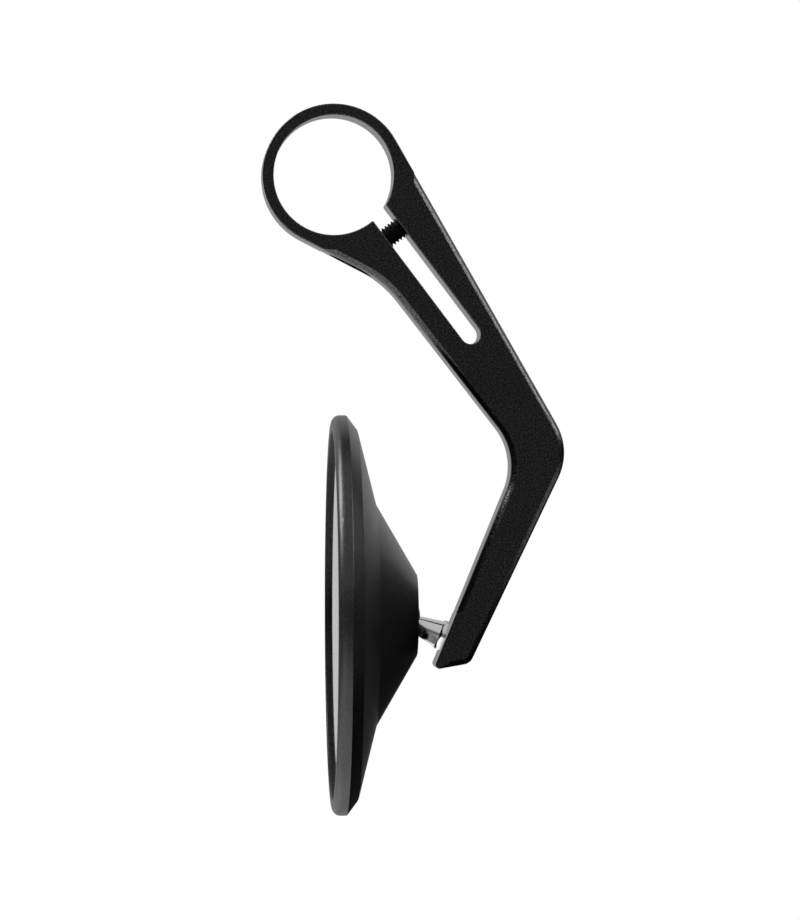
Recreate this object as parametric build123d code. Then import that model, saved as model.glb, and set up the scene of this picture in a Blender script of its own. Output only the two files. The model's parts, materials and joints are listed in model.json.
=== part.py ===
from build123d import *
from math import asin, cos, degrees, radians, sin, sqrt, tan
import os

# Bar end mirror: a flat clamp arm, a ball stud and a round turned mirror head.
# Sizes are in millimetres and degrees. The origin is the middle of the clamp bore, Y runs along the
# handlebar, Z is up and the arm lies in the XZ plane. Headings in that plane start at straight down
# and are positive towards +X.

# Clamp ring and arm plate
bar_diameter = 22.2
ring_wall = 2.05
plate_thickness = 12.0
edge_round = 1.9
face_cut = 0.2
outer_round_start = 1.7
inner_round_start = 0.65

# Arm outline
outer_upper_heading = 29.6
outer_upper_length = 65.95
outer_lower_heading = -25.58
outer_lower_length = 43.67
elbow_width = 9.67
elbow_heading = -83.2
inner_upper_heading = 37.75
inner_lower_heading = -22.3
end_face_heading = -80.0
neck_heading = 62.7
outer_elbow_radius = 10.7
inner_elbow_radius = 11.5
neck_blend_radius = 20.0
end_radius_spare = 0.2
inner_end_radius = 0.8

# Clamp slot, which runs from the bore down the upper arm
slot_heading = 36.95
slot_width = 3.65
slot_offset = 2.52
slot_length = 29.4

# Pinch bolt
bolt_from_bore = 4.05
bolt_diameter = 4.0
bolt_length = 10.0
bolt_head_diameter = 7.0
bolt_head_height = 2.8
bolt_key = 2.5
bolt_key_depth = 1.6
bolt_point_chamfer = 0.5
bolt_jaw = 2.2
bolt_hole_clearance = 0.15
counterbore_clearance = 0.5
bolt_hole_spare = 0.5

# Ball stud
stud_from_end = 6.63
stud_reach = 10.37
stud_flat = 4.6
stud_flat_slant = 2.4
stud_flat_spare = 0.3
stud_thread_diameter = 4.0
stud_thread_length = 4.4
stud_hole_spare = 0.4
ball_diameter = 10.0
neck_diameter = 3.4
neck_root_diameter = 5.0
collar_flats = 5.6
collar_length = 1.25
collar_chamfer = 0.35
thread_clearance = 0.02

# Ball joint inside the mirror head
swing = 34.0
swing_spare = 8.0
neck_clearance = 0.4
ball_clearance = 0.05
liner_thickness = 0.95
liner_front_gap = 0.55
front_liner_start = 1.9
seat_lip = 0.8
ball_nose = 0.6
cup_wall = 1.5
cup_skirt = 1.1
cup_clearance = 0.05
spring_height = 1.0
spring_thickness = 0.6
spring_width = 2.6
plug_thickness = 2.45
plug_sink = 0.4
plug_key = 8.0
plug_wall = 0.45
socket_wall = 3.0

# Mirror head
head_diameter = 74.2
lip_width = 2.8
lip_outer_round = 1.5
lip_inner_round = 0.3
rim_length = 2.7
rim_bevel_depth = 2.03
rim_bevel_drop = 2.7
steep_cone_depth = 7.65
knee_diameter = 41.3
back_flat_diameter = 15.0
head_wall = 2.0
ledge_width = 6.5

# Glass
glass_recess = 0.5
glass_thickness = 1.8
glass_curve = 1400.0
glass_clearance = 0.2
pad_thickness = 0.5
pad_inset = 0.5

# Sizes that follow from the ones above
bore_radius = bar_diameter / 2
ring_radius = bore_radius + ring_wall
outer_end_radius = edge_round + end_radius_spare
ball_radius = ball_diameter / 2
head_radius = head_diameter / 2
pocket_radius = head_radius - lip_width
glass_radius = pocket_radius - glass_clearance
liner_inner_radius = ball_radius + ball_clearance
liner_outer_radius = liner_inner_radius + liner_thickness
seat_radius = liner_outer_radius + ball_clearance


def heading(angle):
    """Unit step in the arm's plane."""
    return Vector(sin(radians(angle)), -cos(radians(angle)))


def beside(angle):
    """Unit step to the left of a heading, as seen by someone walking along it."""
    return Vector(cos(radians(angle)), sin(radians(angle)))


def meet(first, first_heading, second, second_heading):
    """Where a line through the first point crosses a line through the second point."""
    along = heading(first_heading)
    across = beside(second_heading)
    distance = (second - first).dot(across) / along.dot(across)
    return first + along * distance


def in_frame(point):
    """A point of the arm's plane in the part's frame."""
    return Vector(point.X, 0, point.Y)


# Corners of the arm before its rounds
outer_start = beside(outer_upper_heading) * ring_radius
outer_elbow = outer_start + heading(outer_upper_heading) * outer_upper_length
outer_end = outer_elbow + heading(outer_lower_heading) * outer_lower_length
inner_elbow = outer_elbow + heading(elbow_heading) * elbow_width
inner_end = meet(inner_elbow, inner_lower_heading, outer_end, end_face_heading)
inner_start = beside(neck_heading) * -ring_radius
neck_corner = meet(inner_start, neck_heading, inner_elbow, inner_upper_heading)

# Pinch bolt axis: square to the slot, with its seat in the jaw under the slot
bolt_along_slot = bore_radius + bolt_from_bore
lower_slot_wall = slot_offset - slot_width / 2
bolt_seat = lower_slot_wall - bolt_jaw
bolt_plane = Plane(
    origin=in_frame(heading(slot_heading) * bolt_along_slot),
    x_dir=(0, 1, 0),
    z_dir=in_frame(beside(slot_heading)),
)

# Ball stud axis: square to the inner edge of the lower arm, from the ball into the arm
stud_foot = inner_end - heading(inner_lower_heading) * stud_from_end
stud_step = beside(inner_lower_heading)
ball_centre = stud_foot - stud_step * stud_reach
stud_plane = Plane(origin=in_frame(ball_centre), x_dir=(0, 1, 0), z_dir=in_frame(stud_step))

# Depths in the mirror head, from the plane of its lip to its back
glass_centre = glass_recess + glass_curve
glass_back_curve = glass_curve - glass_thickness
glass_back_edge = glass_centre - sqrt(glass_back_curve**2 - glass_radius**2)
ledge_depth = glass_back_edge + pad_thickness
plug_front = ledge_depth + plug_sink
plug_back = plug_front + plug_thickness
cup_front = plug_back + spring_height
ball_depth = cup_front + ball_radius - ball_nose
head_depth = ball_depth + ball_radius - ball_nose

# The neck's half angle at the ball sets how far back the liner may reach
neck_angle = degrees(asin(neck_diameter / ball_diameter))
liner_rear = liner_inner_radius * cos(radians(swing + neck_angle + swing_spare))
throat_rear = liner_rear + seat_lip
throat_radius = sqrt(seat_radius**2 - throat_rear**2)
mouth_rear = head_depth - ball_depth
neck_reach = neck_diameter / 2 / cos(radians(swing))
mouth_radius = mouth_rear * tan(radians(swing)) + neck_reach + neck_clearance
cup_radius = seat_radius + cup_wall
socket_radius = cup_radius + cup_clearance
plug_radius = socket_radius + plug_wall
boss_radius = plug_radius + socket_wall

# The head's axis runs from the lip to the back, along X at rest
head_plane = Plane(
    origin=in_frame(ball_centre) - Vector(ball_depth, 0, 0),
    x_dir=(0, 1, 0),
    z_dir=(1, 0, 0),
)


def turned(*profile):
    """Solid of revolution about Z from radius and height points."""
    section = make_face(Polyline(*profile, close=True))
    return revolve(Plane.XZ * section, Axis.Z)


def disc(radius, start, end):
    """Cylinder on Z between two heights."""
    return Pos(0, 0, start) * Cylinder(radius, end - start, align=(Align.CENTER, Align.CENTER, Align.MIN))


def hexagon(flats, start, end):
    """Hexagonal prism on Z between two heights."""
    section = RegularPolygon(flats / 2, 6, major_radius=False)
    return Pos(0, 0, start) * extrude(section, end - start)


def round_corner(sketch, corner, radius):
    """Round one corner of a sketch."""
    vertex = sketch.vertices().sort_by_distance((corner.X, corner.Y, 0))[0]
    return fillet(vertex, radius)


def arm_outline(*more_rounds):
    """Outline of the plate: the ring and the bent arm that leaves it on two tangents."""
    corners = (outer_start, outer_elbow, outer_end, inner_end, inner_elbow, neck_corner, inner_start)
    outline = make_face(Polyline(*corners, close=True))
    rounds = (
        (outer_elbow, outer_elbow_radius),
        (outer_end, outer_end_radius),
        (inner_elbow, inner_elbow_radius),
        (neck_corner, neck_blend_radius),
        *more_rounds,
    )
    for corner, radius in rounds:
        outline = round_corner(outline, corner, radius)
    return outline + Circle(ring_radius)


def plate(sketch, spare=0):
    """Extrude a sketch of the arm's plane to the plate's thickness, with spare metal on both faces."""
    return extrude(Plane.XZ * sketch, plate_thickness / 2 + spare, both=True)


def slot_outline():
    """Slot from the bore to its round tip."""
    straight = bore_radius + slot_length - slot_width / 2
    outline = Pos(straight / 2, 0) * Rectangle(straight, slot_width) + Pos(straight, 0) * Circle(slot_width / 2)
    return Rot(0, 0, slot_heading - 90) * Pos(0, slot_offset) * outline


def bolt_holes():
    """Counterbore and clearance hole in one jaw, tapped hole in the other."""
    tapped_radius = bolt_diameter / 2 + thread_clearance
    tapped_end = bolt_seat + bolt_length + bolt_hole_spare
    holes = disc((bolt_head_diameter + counterbore_clearance * 2) / 2, bolt_seat - ring_radius, bolt_seat)
    holes += disc(bolt_diameter / 2 + bolt_hole_clearance, bolt_seat, slot_offset)
    holes += disc(tapped_radius, slot_offset, tapped_end)
    return bolt_plane.location * holes


def stud_flat_outline():
    """Strip of the inner edge that stays square, so that the stud's collar has a flat seat."""
    along = heading(inner_lower_heading)
    width = edge_round + stud_flat_spare
    across = stud_step * width
    start = stud_foot - along * stud_flat
    slant = along * stud_flat_slant
    mitre = along * width
    corners = (
        start + across - slant,
        start - across + slant,
        inner_end - across + mitre,
        inner_end + across - mitre,
    )
    return make_face(Polyline(*corners, close=True))


def clamp_arm():
    """Milled plate with its ring, slot, bolt holes and stud hole."""
    square = plate(arm_outline((inner_end, inner_end_radius)))
    blank = plate(arm_outline(), face_cut)
    # The faces are cut after the edges are rounded, so each round meets its face in a crisp line
    body = square & fillet(blank.faces().filter_by(Axis.Y).edges(), edge_round)
    ring_zone = Ellipse(ring_radius + outer_round_start, ring_radius + inner_round_start)
    body += square & plate(ring_zone)
    body += square & plate(stud_flat_outline())
    body -= plate(Circle(bore_radius))
    body -= plate(slot_outline())
    body -= bolt_holes()
    stud_hole_end = stud_reach + stud_thread_length + stud_hole_spare
    stud_hole = disc(stud_thread_diameter / 2 + thread_clearance, stud_reach - collar_length, stud_hole_end)
    return body - stud_plane.location * stud_hole


def pinch_bolt():
    """Socket cap screw, head below the seat and shank above it."""
    shank_radius = bolt_diameter / 2
    point = bolt_seat + bolt_length
    screw = disc(bolt_head_diameter / 2, bolt_seat - bolt_head_height, bolt_seat)
    rims = screw.edges().filter_by(GeomType.CIRCLE).sort_by(Axis.Z)
    screw = chamfer(rims[0], bolt_point_chamfer)
    screw += turned(
        (0, bolt_seat),
        (shank_radius, bolt_seat),
        (shank_radius, point - bolt_point_chamfer),
        (shank_radius - bolt_point_chamfer, point),
        (0, point),
    )
    key_floor = bolt_seat - bolt_head_height + bolt_key_depth
    screw -= hexagon(bolt_key, bolt_seat - bolt_head_height, key_floor)
    return bolt_plane.location * screw


def ball_stud():
    """Ball, coned neck, hexagonal collar and threaded shank in one piece."""
    neck_radius = neck_diameter / 2
    root_radius = neck_root_diameter / 2
    neck_start = sqrt(ball_radius**2 - neck_radius**2)
    collar_start = stud_reach - collar_length
    thread_end = stud_reach + stud_thread_length
    neck = turned((0, neck_start), (neck_radius, neck_start), (root_radius, collar_start), (0, collar_start))
    corner_radius = collar_flats / 2 / cos(radians(30))
    collar = hexagon(collar_flats, collar_start, stud_reach)
    collar_turning = disc(corner_radius, collar_start, stud_reach)
    rims = collar_turning.edges().filter_by(GeomType.CIRCLE).sort_by(Axis.Z)
    collar &= chamfer(rims[0], collar_chamfer)
    stud = Sphere(ball_radius) + neck + collar
    stud += disc(stud_thread_diameter / 2, stud_reach, thread_end)
    return stud_plane.location * stud


def ball_zone(start, end):
    """Liner ring round the ball between two distances behind the ball's centre."""
    ring = Sphere(liner_outer_radius) & disc(liner_outer_radius, start, end)
    return head_plane.location * Pos(0, 0, ball_depth) * (ring - Sphere(liner_inner_radius))


def rear_ball_liner():
    """Liner between the ball and the seat in the housing."""
    return ball_zone(liner_front_gap, liner_rear)


def front_ball_liner():
    """Liner between the ball and the pressure cup."""
    return ball_zone(ball_nose - ball_radius, -front_liner_start)


def pressure_cup():
    """Ring that slides in the socket and presses the front liner on the ball."""
    cup = disc(cup_radius, cup_front, ball_depth - cup_skirt)
    cup -= Pos(0, 0, ball_depth) * Sphere(seat_radius)
    return head_plane.location * cup


def disc_spring():
    """Coned spring washer between the plug and the pressure cup."""
    inner = cup_radius - spring_width
    rise = spring_height - spring_thickness
    washer = turned(
        (inner, plug_back),
        (inner, plug_back + spring_thickness),
        (cup_radius, plug_back + rise + spring_thickness),
        (cup_radius, plug_back + rise),
    )
    return head_plane.location * washer


def adjusting_plug():
    """Threaded plug with a hexagon hole through it."""
    plug = disc(plug_radius - thread_clearance, plug_front, plug_back)
    plug -= hexagon(plug_key, plug_front, plug_back)
    return head_plane.location * plug


def mirror_housing():
    """Turned head: lip, rim, two cones, ledge for the glass, relief and ball socket."""
    bevel_end = rim_length + rim_bevel_depth
    shoulder_radius = head_radius - rim_bevel_drop
    knee_radius = knee_diameter / 2
    knee_depth = head_depth - steep_cone_depth
    flat_radius = back_flat_diameter / 2
    shallow_slope = (knee_depth - bevel_end) / (shoulder_radius - knee_radius)
    steep_slope = steep_cone_depth / (knee_radius - flat_radius)
    shallow_offset = head_wall * sqrt(1 + shallow_slope**2)
    steep_offset = head_wall * sqrt(1 + steep_slope**2)
    ledge_inner = pocket_radius - ledge_width
    relief_edge = bevel_end + (shoulder_radius - ledge_inner) * shallow_slope - shallow_offset
    relief_knee = knee_radius + (steep_offset - shallow_offset) / (shallow_slope - steep_slope)
    relief_knee_depth = knee_depth + (knee_radius - relief_knee) * shallow_slope - shallow_offset
    relief_floor = knee_depth + (knee_radius - boss_radius) * steep_slope - steep_offset
    lip_inner = Vector(pocket_radius, 0)
    lip_outer = Vector(head_radius, 0)
    profile = make_face(
        Polyline(
            lip_inner,
            lip_outer,
            (head_radius, rim_length),
            (shoulder_radius, bevel_end),
            (knee_radius, knee_depth),
            (flat_radius, head_depth),
            (mouth_radius, head_depth),
            (throat_radius, ball_depth + throat_rear),
            (throat_radius, ball_depth + liner_front_gap),
            (socket_radius, ball_depth + liner_front_gap),
            (socket_radius, plug_back + spring_height),
            (plug_radius, plug_back + spring_height),
            (plug_radius, ledge_depth),
            (boss_radius, ledge_depth),
            (boss_radius, relief_floor),
            (relief_knee, relief_knee_depth),
            (ledge_inner, relief_edge),
            (ledge_inner, ledge_depth),
            (pocket_radius, ledge_depth),
            close=True,
        )
    )
    profile = round_corner(profile, lip_inner, lip_inner_round)
    profile = round_corner(profile, lip_outer, lip_outer_round)
    housing = revolve(Plane.XZ * profile, Axis.Z)
    housing -= Pos(0, 0, ball_depth) * Sphere(seat_radius)
    return head_plane.location * housing


def glass_pad():
    """Bonding ring on the ledge, hollowed to the back of the glass."""
    ring = disc(pocket_radius - pad_inset, 0, ledge_depth)
    ring -= disc(pocket_radius - ledge_width + pad_inset, 0, ledge_depth)
    ring &= Pos(0, 0, glass_centre) * Sphere(glass_back_curve)
    return head_plane.location * ring


def mirror_glass():
    """Bent mirror glass of even thickness."""
    blank = disc(glass_radius, 0, ledge_depth) & Pos(0, 0, glass_centre) * Sphere(glass_curve)
    return head_plane.location * (blank - Pos(0, 0, glass_centre) * Sphere(glass_back_curve))


os.makedirs("parts", exist_ok=True)
export_step(clamp_arm(), "parts/clamp_arm.step")
export_step(pinch_bolt(), "parts/pinch_bolt.step")
export_step(ball_stud(), "parts/ball_stud.step")
export_step(rear_ball_liner(), "parts/rear_ball_liner.step")
export_step(front_ball_liner(), "parts/front_ball_liner.step")
export_step(pressure_cup(), "parts/pressure_cup.step")
export_step(disc_spring(), "parts/disc_spring.step")
export_step(adjusting_plug(), "parts/adjusting_plug.step")
export_step(mirror_housing(), "parts/mirror_housing.step")
export_step(glass_pad(), "parts/glass_pad.step")
export_step(mirror_glass(), "parts/mirror_glass.step")
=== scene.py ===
import json
import math

import bpy
from bpy.props import FloatProperty, FloatVectorProperty, IntProperty, PointerProperty
from mathutils import Matrix, Quaternion, Vector

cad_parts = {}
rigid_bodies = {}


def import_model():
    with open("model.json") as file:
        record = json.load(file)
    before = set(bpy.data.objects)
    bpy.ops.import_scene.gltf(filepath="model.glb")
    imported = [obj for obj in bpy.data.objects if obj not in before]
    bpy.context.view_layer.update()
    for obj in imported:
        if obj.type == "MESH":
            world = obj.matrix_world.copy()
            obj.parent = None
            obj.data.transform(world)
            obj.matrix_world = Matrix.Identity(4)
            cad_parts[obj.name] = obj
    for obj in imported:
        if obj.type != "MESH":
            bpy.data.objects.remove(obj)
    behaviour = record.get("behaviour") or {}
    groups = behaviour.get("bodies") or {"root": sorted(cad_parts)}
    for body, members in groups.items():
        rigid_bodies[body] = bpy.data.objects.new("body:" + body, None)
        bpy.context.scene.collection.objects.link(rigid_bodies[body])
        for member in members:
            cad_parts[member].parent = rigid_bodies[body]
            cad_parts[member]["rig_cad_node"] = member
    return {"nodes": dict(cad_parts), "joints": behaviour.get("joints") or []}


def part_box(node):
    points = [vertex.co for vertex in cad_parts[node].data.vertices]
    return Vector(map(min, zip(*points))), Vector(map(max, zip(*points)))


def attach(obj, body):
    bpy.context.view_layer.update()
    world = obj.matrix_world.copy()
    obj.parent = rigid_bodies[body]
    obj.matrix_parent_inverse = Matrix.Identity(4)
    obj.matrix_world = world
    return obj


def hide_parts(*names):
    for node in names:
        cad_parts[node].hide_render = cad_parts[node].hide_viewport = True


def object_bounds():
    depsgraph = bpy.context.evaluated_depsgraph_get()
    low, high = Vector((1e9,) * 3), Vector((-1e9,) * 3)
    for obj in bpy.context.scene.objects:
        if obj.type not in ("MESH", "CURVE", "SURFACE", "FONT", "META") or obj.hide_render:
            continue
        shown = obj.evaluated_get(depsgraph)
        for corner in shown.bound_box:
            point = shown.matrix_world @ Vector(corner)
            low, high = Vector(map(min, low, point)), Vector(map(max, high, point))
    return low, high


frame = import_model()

bl_info = {
    "name": "Bar end mirror",
    "version": (1, 0, 0),
    "blender": (4, 5, 0),
    "location": "3D View > Sidebar > Bar end mirror",
    "description": "Finishes, screw and studio for a motorcycle bar end mirror",
    "category": "Object",
}

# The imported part's own box and the middle of its ball joint, in metres
CAD_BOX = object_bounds()
BALL_CENTRE = Vector(frame["joints"][0]["pos_m"])
HEAD_AXIS = Vector((1, 0, 0))
BORE_AXIS = Vector((0, 1, 0))
UP = Vector((0, 0, 1))

# Joining a CAD mesh: points closer than this are one point, flatter edges than this are not edges
MERGE_DISTANCE = 2e-6
FLAT_ANGLE = math.radians(0.05)
SHARP_ANGLE = math.radians(10)
# Steeper than one step of a rounded edge, so only true edges stay crisp beside it
STEEP_ANGLE = math.radians(35)
# Flatter than the edge between a flat of the collar and its turned off corner
FACET_ANGLE = math.radians(20)
# Steeper than one step round the screw, flatter than the edges of its thread and knurls
THREAD_ANGLE = math.radians(32)

# Steps across a broken edge, and round a ring, a turn of the thread and the screw's shank
EDGE_STEPS = 3
RING_STEPS = 96
THREAD_STEPS = 48
SHANK_STEPS = 64
# Turns of thread beyond the shank, half of them at each end
SPARE_TURNS = 4
# Points of neighbouring turns closer than this are one point
THREAD_MERGE = 1e-7
# A normal that reaches this far along an axis faces that way
FACING = 0.9

# Places in a piece's list of materials; the first is its faces
EDGE_SLOT = 1
# The pocket's slot holds painted shade: a darker material on the recessed wall round the glass
PAINTED_SHADE_SLOT = 2
# What a mesh is made of, and the select mode for it
SELECT_MODES = {"vertices": "VERT", "edges": "EDGE", "polygons": "FACE"}

# How far roughness differs from grain to grain on anodised faces
GRAIN_ROUGHNESS = 0.05
# Darkest streak of turned metal, and how its roughness differs across a line
STREAK_SHADE = 0.86
LINE_ROUGHNESS = (0.7, 1.3)
# Darkest and lightest grain of plastic or foam, and of black oxide
MOULDED_SHADES = (0.9, 1.08)
OXIDE_SHADES = (0.6, 1.6)

# Directions in the light tent: backwards and a little to the right, and across the slant behind
BACKWARD = (0.35, 1, 0)
BACK_SLANT = (-0.375, 0, 1)
# Where each band of the tent starts and ends along its direction
ABOVE_BAND = (0.08, 0.4)
BELOW_BAND = (-0.6, -0.06)
RIGHT_BAND = (0.3, 0.9)
BACK_BAND = (0.5, 0.8)
BACK_RIGHT_BAND = (0.05, 0.3)
BACK_LOW_BAND = (-0.17, -0.06)
# The floor reaches this far and fades to white between these distances, in metres
FLOOR_RADIUS = 3
FLOOR_FADE = (0.35, 0.6)
# Width of the camera's sensor in millimetres, nearest and farthest seen distance in metres
SENSOR_WIDTH = 36
CLIP = (0.05, 20)


def select_only(piece):
    """Leave one object selected and active."""
    bpy.ops.object.select_all(action="DESELECT")
    piece.select_set(True)
    bpy.context.view_layer.objects.active = piece


def edit(piece):
    """Open one object in edit mode with nothing selected."""
    select_only(piece)
    bpy.ops.object.mode_set(mode="EDIT")
    bpy.ops.mesh.select_all(action="DESELECT")


def leave_edit():
    """Go back to object mode."""
    bpy.ops.object.mode_set(mode="OBJECT")


def pick(piece, domain, test):
    """Select the vertices, edges or faces of an open mesh that pass a test."""
    leave_edit()
    for kind in SELECT_MODES:
        for item in getattr(piece.data, kind):
            item.select = kind == domain and test(item)
    bpy.ops.object.mode_set(mode="EDIT")
    bpy.ops.mesh.select_mode(type=SELECT_MODES[domain])


def settle():
    """Put the place, turn and scale of the selected object into its mesh."""
    bpy.ops.object.transform_apply(location=True, rotation=True, scale=True)


def primitive(operator, scale=(1, 1, 1), **sizes):
    """Add a primitive with nothing else selected, its place and scale in its mesh."""
    bpy.ops.object.select_all(action="DESELECT")
    operator(**sizes)
    piece = bpy.context.view_layer.objects.active
    piece.scale = scale
    settle()
    return piece


def move_to(piece, place, turn):
    """Turn a piece about the origin and carry it to its place, in its mesh."""
    select_only(piece)
    piece.matrix_world = Matrix.Translation(place) @ turn.to_4x4()
    settle()


def apply_modifier(piece, kind, **values):
    """Add a modifier with these values and apply it."""
    select_only(piece)
    modifier = piece.modifiers.new(kind.lower(), kind)
    for name, value in values.items():
        setattr(modifier, name, value)
    bpy.ops.object.modifier_apply(modifier=modifier.name)


def boolean(piece, other, operation):
    """Cut, join or trim a piece with another object, which is then removed."""
    apply_modifier(piece, "BOOLEAN", operation=operation, object=other, solver="EXACT")
    bpy.data.objects.remove(other)


def close_slivers(piece):
    """Close the slivers without width that cutting leaves."""
    edit(piece)
    bpy.ops.mesh.select_all(action="SELECT")
    bpy.ops.mesh.dissolve_degenerate(threshold=MERGE_DISTANCE)
    leave_edit()


def set_material(piece, *materials):
    """Give a piece these materials in place of the ones it has."""
    piece.data.materials.clear()
    for material in materials:
        piece.data.materials.append(material)


def hand_over(piece, name, body, node):
    """Name a finished piece, let it ride on its body and stand for its CAD node."""
    piece.name = name
    piece.data.name = name
    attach(piece, body)
    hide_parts(node)


def sloping(angle):
    """Direction in the plane of the arm, turned up from level by an angle."""
    return Vector((math.cos(angle), 0, math.sin(angle)))


def glass_radius():
    """Radius of the mirror glass."""
    low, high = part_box("mirror_glass")
    return (high.z - low.z) / 2


def joined_copy(node):
    """Copy of a CAD node joined into one mesh and left open, its face borders marked as seams."""
    select_only(frame["nodes"][node])
    bpy.ops.object.duplicate()
    piece = bpy.context.view_layer.objects.active
    del piece["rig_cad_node"]
    edit(piece)
    bpy.ops.mesh.customdata_custom_splitnormals_clear()
    bpy.ops.mesh.select_mode(type="EDGE")
    bpy.ops.mesh.select_non_manifold()
    bpy.ops.mesh.mark_seam()
    bpy.ops.mesh.select_all(action="SELECT")
    bpy.ops.mesh.remove_doubles(threshold=MERGE_DISTANCE)
    return piece


def edge_broken_copy(node, edge_round, wanted):
    """Copy of a CAD node whose wanted sharp edges get a small round, as a maker deburrs them.

    The test gets the ends of an edge and the depth of the deepest face beside it.
    """
    piece = joined_copy(node)
    bpy.ops.mesh.dissolve_limited(angle_limit=FLAT_ANGLE, delimit={"SEAM"})
    bpy.ops.mesh.select_all(action="DESELECT")
    bpy.ops.mesh.edges_select_sharp(sharpness=SHARP_ANGLE)
    leave_edit()
    mesh = piece.data
    depth = {key: 0.0 for key in mesh.edge_keys}
    for face in mesh.polygons:
        places = [mesh.vertices[index].co.y for index in face.vertices]
        for key in face.edge_keys:
            depth[key] = max(depth[key], max(places) - min(places))
    broken, crisp = set(), set()
    for edge in mesh.edges:
        if edge.select and edge.use_seam:
            ends = [mesh.vertices[index].co for index in edge.vertices]
            (broken if wanted(ends, depth[edge.key]) else crisp).add(edge.index)
    pick(piece, "edges", lambda edge: edge.index in crisp)
    bpy.ops.mesh.mark_sharp()
    pick(piece, "edges", lambda edge: edge.index in broken)
    bpy.ops.transform.edge_bevelweight(value=1)
    bpy.ops.mesh.select_all(action="SELECT")
    bpy.ops.mesh.mark_seam(clear=True)
    leave_edit()
    bpy.ops.object.shade_smooth()
    apply_modifier(
        piece, "BEVEL", width=edge_round, segments=EDGE_STEPS, limit_method="WEIGHT",
        offset_type="OFFSET", use_clamp_overlap=False, material=EDGE_SLOT,
    )
    close_slivers(piece)
    edit(piece)
    bpy.ops.mesh.edges_select_sharp(sharpness=STEEP_ANGLE)
    bpy.ops.mesh.mark_sharp()
    leave_edit()
    apply_modifier(piece, "WEIGHTED_NORMAL", mode="FACE_AREA", weight=100, keep_sharp=True)
    return piece


def new_material(name):
    """Material with a Principled shader; returns the material, its nodes and the shader."""
    material = bpy.data.materials.new(name)
    material.use_nodes = True
    return material, material.node_tree, material.node_tree.nodes["Principled BSDF"]


def set_sockets(node, values):
    """Set the values of a node's input sockets."""
    for socket, value in values.items():
        node.inputs[socket].default_value = value


def add(tree, kind, sockets=None, **settings):
    """Add a node with its own settings and the values of its input sockets."""
    node = tree.nodes.new(kind)
    for name, value in settings.items():
        setattr(node, name, value)
    set_sockets(node, sockets or {})
    return node


def wire(*pairs):
    """Link outputs to input sockets."""
    for output, socket in pairs:
        socket.id_data.links.new(output, socket)


def new_group(name, value, outputs):
    """Start a shader node group with a place and one value as inputs and values as outputs."""
    tree = bpy.data.node_groups.new(name, "ShaderNodeTree")
    tree.interface.new_socket("Vector", in_out="INPUT", socket_type="NodeSocketVector")
    tree.interface.new_socket(value, in_out="INPUT", socket_type="NodeSocketFloat")
    for socket in outputs:
        tree.interface.new_socket(socket, in_out="OUTPUT", socket_type="NodeSocketFloat")
    return tree, tree.nodes.new("NodeGroupInput"), tree.nodes.new("NodeGroupOutput")


def use_group(tree, name, place, value):
    """Put a node group, built on its first use, in a material and set its place and value."""
    group = bpy.data.node_groups.get(name) or GROUPS[name](name)
    node = add(tree, "ShaderNodeGroup", {1: value}, node_tree=group)
    wire((place, node.inputs["Vector"]))
    return node


def object_place(tree):
    """Object coordinates, which are the part's own frame in metres."""
    return add(tree, "ShaderNodeTexCoord").outputs["Object"]


def along_axis(tree, axis):
    """Object coordinates turned so that a line through the ball's centre becomes the Z axis."""
    turn = axis.rotation_difference(UP)
    sockets = {"Rotation": turn.to_euler(), "Location": -(turn @ BALL_CENTRE)}
    mapping = add(tree, "ShaderNodeMapping", sockets, vector_type="POINT")
    wire((object_place(tree), mapping.inputs["Vector"]))
    return mapping.outputs[0]


def axis_distance(tree, place):
    """Distance of a place from the Z axis."""
    across = add(tree, "ShaderNodeVectorMath", {1: (1, 1, 0)}, operation="MULTIPLY")
    distance = add(tree, "ShaderNodeVectorMath", operation="LENGTH")
    wire((place, across.inputs[0]), (across.outputs[0], distance.inputs[0]))
    return distance.outputs["Value"]


def counted(tree, place, step):
    """A place counted in steps of a length instead of metres."""
    per_metre = add(tree, "ShaderNodeMath", {0: 1}, operation="DIVIDE")
    scaled = add(tree, "ShaderNodeVectorMath", operation="SCALE")
    wire(
        (step, per_metre.inputs[1]),
        (place, scaled.inputs[0]),
        (per_metre.outputs[0], scaled.inputs["Scale"]),
    )
    return scaled.outputs[0]


def noise(tree, place, sockets):
    """Noise over a place."""
    node = add(tree, "ShaderNodeTexNoise", sockets)
    wire((place, node.inputs["Vector"]))
    return node.outputs["Fac"]


def stretch(tree, value, source=(0, 1), target=(0, 1)):
    """Stretch a value from one range to another and hold it at the ends."""
    names = ("From Min", "From Max", "To Min", "To Max")
    node = add(tree, "ShaderNodeMapRange", dict(zip(names, (*source, *target))))
    wire((value, node.inputs["Value"]))
    return node.outputs["Result"]


def two_tone(tree, mask, dark, light):
    """Mix two colours by a mask."""
    sockets = {"A": (*dark, 1), "B": (*light, 1)}
    mix = add(tree, "ShaderNodeMix", sockets, data_type="RGBA")
    wire((mask, mix.inputs["Factor"]))
    return mix.outputs["Result"]


def shade(colour, factor):
    """A colour made lighter or darker."""
    return tuple(channel * factor for channel in colour)


def bump(tree, shader, height, depth):
    """Drive a shader's normal by a height."""
    node = add(tree, "ShaderNodeBump", {"Distance": depth})
    wire((height, node.inputs["Height"]), (node.outputs["Normal"], shader.inputs["Normal"]))


def blasted_grain(name):
    """Fine pits of bead blasted metal or moulded plastic: a height and a light and dark speckle."""
    tree, source, result = new_group(name, "Grain size", ["Height", "Speckle"])
    place = counted(tree, source.outputs["Vector"], source.outputs["Grain size"])
    pits = noise(tree, place, {"Scale": 1, "Detail": 2, "Roughness": 0.55})
    clumps = noise(tree, place, {"Scale": 0.9, "Detail": 2, "Roughness": 0.6})
    speckle = stretch(tree, clumps, source=(0.32, 0.68))
    wire((pits, result.inputs["Height"]), (speckle, result.inputs["Speckle"]))
    return tree


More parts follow.
